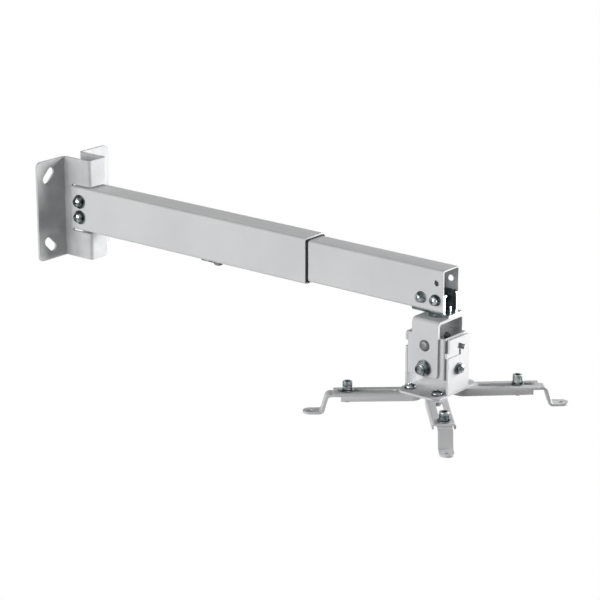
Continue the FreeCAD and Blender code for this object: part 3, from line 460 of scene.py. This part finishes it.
def chamferRows(flat, z, rise):
    # A turned chamfer on a hexagon: the limit grows from a little under the flat to the corner
    corner, face = flat / math.cos(math.pi / 6), flat * nutValues["face"]
    share = np.linspace(0, 1, nutValues["bend"])
    limits = face + (corner - face) * share
    return [(flat, limit, z + rise * part) for limit, part in zip(limits, share)]


def drawNut(length, across, bore, collarHeight):
    # Hexagon nut with turned chamfers and, where it has one, a round collar over a plastic ring
    flat, top = across / 2 * math.cos(math.pi / 6), length - collarHeight
    hole, edge = bore / 2 + nutValues["clearance"], nutValues["holeEdge"]
    slope = nutValues["slope"] * across
    rows = [roundRow(hole, 0)] + chamferRows(flat, 0, slope) + chamferRows(flat, top, -slope)[::-1]
    if collarHeight:
        collar, bend = flat * nutValues["collar"], nutValues["collarEdge"]
        rows += [roundRow(collar, top + nutValues["collarStep"]), roundRow(collar, length - bend)]
        rows += arcRows(collar, length, bend, np.linspace(*nutValues["collarBend"]))
    rows += [roundRow(hole + edge, length), roundRow(hole, length - edge)]
    return joinRows(lathe(rows), True)


boltValues = {
    "pitch": 1 * mm,
    "threadDepth": 0.45 * mm,
    "threadShown": 3 * mm,
    "threadShare": 0.8,  # of the shank at most
    "tip": 0.8 * mm,
    "rows": 25,
}


def shownThread(seat):
    return min(boltValues["threadShown"], seat * boltValues["threadShare"])


def shankRows(radius, seat):
    # The shank from its tip to the seat: at the tip it is a cone, whose radius grows with the height
    shown = shownThread(seat)
    heights = np.linspace(0, shown, boltValues["rows"])
    tips = np.minimum(radius, radius - boltValues["tip"] + heights)
    rows = [roundRow(tip, z) for tip, z in zip(tips, heights)]
    return rows + [roundRow(radius, shown), roundRow(radius, seat)]


def threaded(rows, radius, seat):
    # The thread in the shank's shown rows: depth times half of 1 - cos of height / pitch less the turn
    x, y, z = rows[..., 0], rows[..., 1], rows[..., 2]
    wave = (1 - np.cos(2 * math.pi * z / boltValues["pitch"] - np.arctan2(y, x))) / 2
    size = np.hypot(x, y)
    inside = (np.arange(len(rows)) < boltValues["rows"])[:, None] & (z <= shownThread(seat))
    thin = np.minimum(size, radius - boltValues["threadDepth"] * wave)
    scale = np.where(inside, thin / size, 1)
    return rows * np.stack([scale, scale, np.ones_like(scale)], axis=-1)


panValues = {
    "shank": 6 * mm,
    "foot": 0.15 * mm,
    "rim": 0.35,  # of the head's height
    "bend": (0.2, 1.25, 6),  # first and last angle of the quarter round, and rows
    "crown": 0.9 * mm,
    "crownRows": (0.97, 0.03, 26),  # first and last share of the crown's radius, and rows
    "crossWidth": 1.3 * mm,
    "crossTaper": (1.1, 0.35),  # of that width: at the middle, and what is lost by the end
    "crossReach": 0.5,  # of the head's radius
    "crossDepth": 1.7 * mm,
    "crossWall": 0.35 * mm,
    "crossEnd": 3,  # walls' widths in the slope at a bar's end
}


def crossBar(acrossBar, alongBar, reach):
    # 1 on a bar of the cross and 0 off it: a slope at the bar's side, whose distance from the middle
    # falls along the bar, times a wider slope at its end
    wall, (whole, lost) = panValues["crossWall"], panValues["crossTaper"]
    half = panValues["crossWidth"] / 2 * (whole - lost * alongBar / reach)
    side = np.clip((half + wall / 2 - acrossBar) / wall, 0, 1)
    return side * np.clip((reach + wall - alongBar) / (panValues["crossEnd"] * wall), 0, 1)


def drawPan(length, across, headHeight):
    # Pan head: an upright rim, a quarter round, and a crown falling as the square of the radius. The
    # cross recess lowers the top by its depth times the larger of its two bars.
    radius, seat, shank = across / 2, length - headHeight, panValues["shank"] / 2
    foot, rim = panValues["foot"], panValues["rim"] * headHeight
    bow = headHeight - rim - panValues["crown"]
    rows = shankRows(shank, seat)
    rows += [roundRow(radius - foot, seat), roundRow(radius, seat + foot), roundRow(radius, seat + rim)]
    rows += [roundRow(radius - bow * (1 - math.cos(a)), seat + rim + bow * math.sin(a))
             for a in np.linspace(*panValues["bend"])]
    _, edge, shoulder = rows[-1]
    topStart = len(rows)
    rows += [roundRow(edge * share, shoulder + (length - shoulder) * (1 - share * share))
             for share in np.linspace(*panValues["crownRows"])]
    grid = threaded(lathe(rows), shank, seat)
    top, reach = grid[topStart:], panValues["crossReach"] * radius
    x, y = np.abs(top[..., 0]), np.abs(top[..., 1])
    top[..., 2] -= panValues["crossDepth"] * np.maximum(crossBar(x, y, reach), crossBar(y, x, reach))
    return joinRows(grid, False, (0, 0, 0), (0, 0, length - panValues["crossDepth"]))


capValues = {
    "shank": 6 * mm,
    "headHeight": 7 * mm,
    "foot": 0.3 * mm,
    "edge": 0.7 * mm,
    "edgeRows": 6,
    "columns": 192,
    "ridges": 48,
    "ridgeDepth": 0.12 * mm,
    "ridgeRows": 4,
    "ridgeEnds": (1.2, 1.6),  # plain bands under and over the ridges, times the foot and the edge
    "socket": 2.5 * mm,  # half its width over the flats
    "socketDepth": 3.4 * mm,
    "mouth": 1.3,  # inner radius of the top face, times the socket
    "lead": (1.02, 1.22, 0.15 * mm),  # flat and limit, times the socket, and depth
    "leadDepth": 0.4 * mm,
    "drill": (0.5, 0.5 * mm, 0.6 * mm),  # radius, times the socket, its depth and its tip's
}


def drawCap(length, across):
    # Cylinder head with a hexagon socket. Its side is knurled: the radius is cut by the ridges' depth
    # times half of 1 + cos(ridges * angle).
    radius, seat, shank = across / 2, length - capValues["headHeight"], capValues["shank"] / 2
    edge, foot, socket = capValues["edge"], capValues["foot"], capValues["socket"]
    leadFlat, leadLimit, leadDrop = capValues["lead"]
    drill, drillDepth, drillTip = capValues["drill"]
    plainLow, plainHigh = capValues["ridgeEnds"]
    deep = length - capValues["socketDepth"]
    rows = shankRows(shank, seat) + [roundRow(radius - foot, seat), roundRow(radius, seat + foot)]
    knurlStart = len(rows)
    knurl = np.linspace(seat + foot * plainLow, length - plainHigh * edge, capValues["ridgeRows"])
    rows += [roundRow(radius, z) for z in knurl]
    knurlEnd = len(rows)
    rows += arcRows(radius, length, edge, np.linspace(0, math.pi / 2, capValues["edgeRows"]))
    rows += [roundRow(socket * capValues["mouth"], length),
             (socket * leadFlat, socket * leadLimit, length - leadDrop),
             (socket, wide, length - capValues["leadDepth"]), (socket, wide, deep),
             roundRow(socket * drill, deep - drillDepth)]
    grid = threaded(lathe(rows, capValues["columns"]), shank, seat)
    side = grid[knurlStart:knurlEnd]
    turn = np.arctan2(side[..., 1], side[..., 0])
    wave = 0.5 + 0.5 * np.cos(capValues["ridges"] * turn)
    side[..., :2] *= 1 - capValues["ridgeDepth"] / radius * wave[..., None]
    return joinRows(grid, False, (0, 0, 0), (0, 0, deep - drillTip))


hexValues = {
    "shank": 8 * mm,
    "headHeight": 5 * mm,
    "face": 0.97,  # radius of the round face under the head, times half the width over the flats
    "faceHeight": 0.3 * mm,
    "spread": 1.06,  # limit where the flats start, times the same
    "spreadHeight": 0.8 * mm,
}


def drawHex(length, across):
    # Hexagon head bolt with a turned chamfer on its top and a thin round face under it
    flat, shank = across / 2 * math.cos(math.pi / 6), hexValues["shank"] / 2
    seat = length - hexValues["headHeight"]
    face, faceTop = flat * hexValues["face"], seat + hexValues["faceHeight"]
    rows = shankRows(shank, seat) + [roundRow(face, seat), roundRow(face, faceTop)]
    rows += [(flat, flat * hexValues["spread"], faceTop),
             (flat, wide, seat + hexValues["spreadHeight"])]
    rows += chamferRows(flat, length, -nutValues["slope"] * across)[::-1]
    return joinRows(threaded(lathe(rows), shank, seat), False, (0, 0, 0), (0, 0, length))


rivetValues = {
    "lip": 0.3 * mm,  # upright rim of the end's dome, and half that of the head's
    "domeRows": (0.96, 0.06, 9),  # first and last share of the radius, and rows
    "power": 5,
}


def domeRows(radius, z, height, lip):
    # A low dome: above the lip the height falls as the fifth power of the share of the radius
    rows = [roundRow(radius, z), roundRow(radius, z + lip)]
    for share in np.linspace(*rivetValues["domeRows"]):
        rise = (height - lip) * (1 - share ** rivetValues["power"])
        rows.append(roundRow(radius * share, z + lip + rise))
    return rows


def drawRivet(length, across, headHeight, shank, endWidth, endHeight):
    # Rivet with a domed head and a dome on its far end, which is drawn upwards and then mirrored
    seat, lip = length - headHeight, rivetValues["lip"]
    end = domeRows(endWidth / 2, endHeight, endHeight, lip)
    rows = [roundRow(radius, endHeight - (z - endHeight)) for _, radius, z in end][::-1]
    rows += [roundRow(shank / 2, endHeight), roundRow(shank / 2, seat)]
    rows += domeRows(across / 2, seat, headHeight, 2 * lip)
    return joinRows(lathe(rows), False, (0, 0, 0), (0, 0, length))


def buildPiece(node, way, draw, sizes):
    # One piece for all the solids of the node. Outward is the way that leads off from the middle plane.
    blocks, faces = [], []
    for box in solidBoxes(node):
        side = "+y" if box[0][1] + box[1][1] > 0 else "-y"
        axis = side if way == "outward" else way
        low, length, across = spot(box, axis)
        drawn, joined = draw(length, across, **sizes)
        start = sum(len(block) for block in blocks)
        blocks.append(drawn @ turns[axis].T + low)
        faces += [[start + corner for corner in face] for face in joined]
    data = bpy.data.meshes.new(node + "_turned")
    data.from_pydata(np.vstack(blocks).tolist(), [], faces)
    data.validate()
    standFor(node, data, turnedValues["smooth"])


smallNut = {"bore": 6 * mm, "collarHeight": 2 * mm}
largeNut = {"bore": 8 * mm, "collarHeight": 2 * mm}
smallWasher = {"bore": 6.5 * mm}
largeWasher = {"bore": 8 * mm}
turnedPieces = {  # the way each piece points, what draws it and its own sizes
    "wall_bolts": ("-y", drawPan, {"headHeight": 4.5 * mm}),
    "bracket_bolts": ("-y", drawPan, {"headHeight": 4.2 * mm}),
    "roll_screw": ("+x", drawPan, {"headHeight": 3.8 * mm}),
    "arm_screws": ("+z", drawPan, {"headHeight": 4.6 * mm}),
    "lock_screw": ("-z", drawPan, {"headHeight": 4.4 * mm}),
    "wall_spring_washers": ("-y", drawSpring, {}),
    "bracket_spring_washers": ("-y", drawSpring, {}),
    "wall_washers": ("outward", drawRing, smallWasher),
    "bracket_washers": ("outward", drawRing, smallWasher),
    "wall_nuts": ("+y", drawNut, smallNut),
    "bracket_nuts": ("+y", drawNut, smallNut),
    "swivel_bolt": ("-z", drawHex, {}),
    "tilt_bolt": ("+y", drawHex, {}),
    "swivel_spacer": ("+z", drawRing, largeWasher),
    "swivel_washer": ("+z", drawRing, largeWasher),
    "tilt_washers": ("outward", drawRing, largeWasher),
    "swivel_nut": ("+z", drawNut, largeNut),
    "tilt_nut": ("-y", drawNut, largeNut),
    "roll_washer": ("+x", drawRing, {"bore": 6 * mm}),
    "roll_spacer": ("+x", drawRing, {"bore": 6.16 * mm}),
    "roll_nut": ("-x", drawNut, {"bore": 6 * mm, "collarHeight": 0}),
    "arm_screw_nuts": ("-z", drawNut, smallNut),
    "tilt_rivets": ("outward", drawRivet, {
        "headHeight": 3 * mm, "shank": 6 * mm, "endWidth": 8.5 * mm, "endHeight": 3 * mm}),
    "roll_rivet": ("-x", drawRivet, {
        "headHeight": 1.6 * mm, "shank": 6 * mm, "endWidth": 10 * mm, "endHeight": 1.6 * mm}),
    "lock_rivet": ("-z", drawRivet, {
        "headHeight": 1.2 * mm, "shank": 4.6 * mm, "endWidth": 4.6 * mm, "endHeight": 0.2 * mm}),
}
for corner in ("near_wall", "near_end", "far_end", "far_wall"):
    turnedPieces["foot_bolt_" + corner] = ("+z", drawCap, {})
    turnedPieces["foot_spring_washer_" + corner] = ("+z", drawSpring, {})
    turnedPieces["foot_washer_" + corner] = ("+z", drawRing, smallWasher)
    turnedPieces["foot_nut_" + corner] = ("-z", drawNut, smallNut)
for nodeName, (way, draw, sizes) in turnedPieces.items():
    buildPiece(nodeName, way, draw, sizes)
print("fasteners made")

# Studio: white all round for the camera, a dark ceiling, a large key light past the arm's end

worldValues = {
    "low": 0.16,  # strength near the horizon
    "high": 0.05,  # strength overhead
    "heights": (0.15, 0.75),  # between these it goes from the one to the other
    "white": 1.0,  # strength for the rays that show the background itself
}
floorValues = {
    "drop": 0.55,
    "size": 40.0,
    "colour": 0.32,
    "glow": 1.0,  # share of plain white that the camera sees in it
}
lampValues = {
    "key": {"place": (1.9, 2.2, 0.37), "aim": (0.35, 0, -0.03), "size": (1.3, 1.8), "power": 172.0},
    "fill": {"place": (-0.6, -4.3, 0.95), "aim": (0.35, 0, -0.03), "size": (3.4, 2.6), "power": 192.0},
}


def rayShare(nodes, links):
    # 1 for the rays that show the background itself: camera, glossy and transmission rays
    path = nodes.new("ShaderNodeLightPath")
    share = path.outputs["Is Camera Ray"]
    for kind in ("Is Glossy Ray", "Is Transmission Ray"):
        either = nodes.new("ShaderNodeMath")
        either.operation = "MAXIMUM"
        links.new(share, either.inputs[0])
        links.new(path.outputs[kind], either.inputs[1])
        share = either.outputs["Value"]
    return share


def makeWorld(values):
    world = bpy.data.worlds.new("studio")
    bpy.context.scene.world = world
    world.use_nodes = True
    nodes, links = world.node_tree.nodes, world.node_tree.links
    split = nodes.new("ShaderNodeSeparateXYZ")
    links.new(nodes.new("ShaderNodeTexCoord").outputs["Generated"], split.inputs["Vector"])
    height = nodes.new("ShaderNodeMapRange")
    height.inputs["From Min"].default_value, height.inputs["From Max"].default_value = values["heights"]
    height.inputs["To Min"].default_value = values["low"]
    height.inputs["To Max"].default_value = values["high"]
    links.new(split.outputs["Z"], height.inputs["Value"])
    level = nodes.new("ShaderNodeMix")
    links.new(rayShare(nodes, links), level.inputs["Factor"])
    links.new(height.outputs["Result"], level.inputs["A"])
    level.inputs["B"].default_value = values["white"]
    links.new(level.outputs["Result"], nodes["Background"].inputs["Strength"])
    nodes["Background"].inputs["Color"].default_value = (1, 1, 1, 1)


def makeFloor(values):
    low = cadBox[0].z - values["drop"]
    half = values["size"] / 2
    corners = [(-half, -half, low), (half, -half, low), (half, half, low), (-half, half, low)]
    mesh = bpy.data.meshes.new("floor")
    mesh.from_pydata(corners, [], [(0, 1, 2, 3)])
    floor = bpy.data.objects.new("floor", mesh)
    bpy.context.scene.collection.objects.link(floor)
    material = bpy.data.materials.new("floorPaper")
    material.use_nodes = True
    nodes, links = material.node_tree.nodes, material.node_tree.links
    nodes.remove(nodes["Principled BSDF"])
    paper = nodes.new("ShaderNodeBsdfDiffuse")
    paper.inputs["Color"].default_value = (*(values["colour"],) * 3, 1)
    glow = nodes.new("ShaderNodeEmission")
    share = nodes.new("ShaderNodeMath")
    share.operation = "MULTIPLY"
    share.inputs[1].default_value = values["glow"]
    mix = nodes.new("ShaderNodeMixShader")
    links.new(rayShare(nodes, links), share.inputs[0])
    links.new(share.outputs["Value"], mix.inputs["Fac"])
    links.new(paper.outputs["BSDF"], mix.inputs[1])
    links.new(glow.outputs["Emission"], mix.inputs[2])
    links.new(mix.outputs["Shader"], nodes["Material Output"].inputs["Surface"])
    mesh.materials.append(material)


def makeLamp(name, values):
    data = bpy.data.lights.new(name, "AREA")
    data.shape = "RECTANGLE"
    data.size, data.size_y = values["size"]
    data.energy = values["power"]
    lamp = bpy.data.objects.new(name, data)
    lamp.location = values["place"]
    aim = Vector(values["aim"]) - Vector(values["place"])
    lamp.rotation_euler = aim.to_track_quat("-Z", "Y").to_euler()
    bpy.context.scene.collection.objects.link(lamp)


makeWorld(worldValues)
makeFloor(floorValues)
for lampName, oneLamp in lampValues.items():
    makeLamp(lampName, oneLamp)
print("studio made")
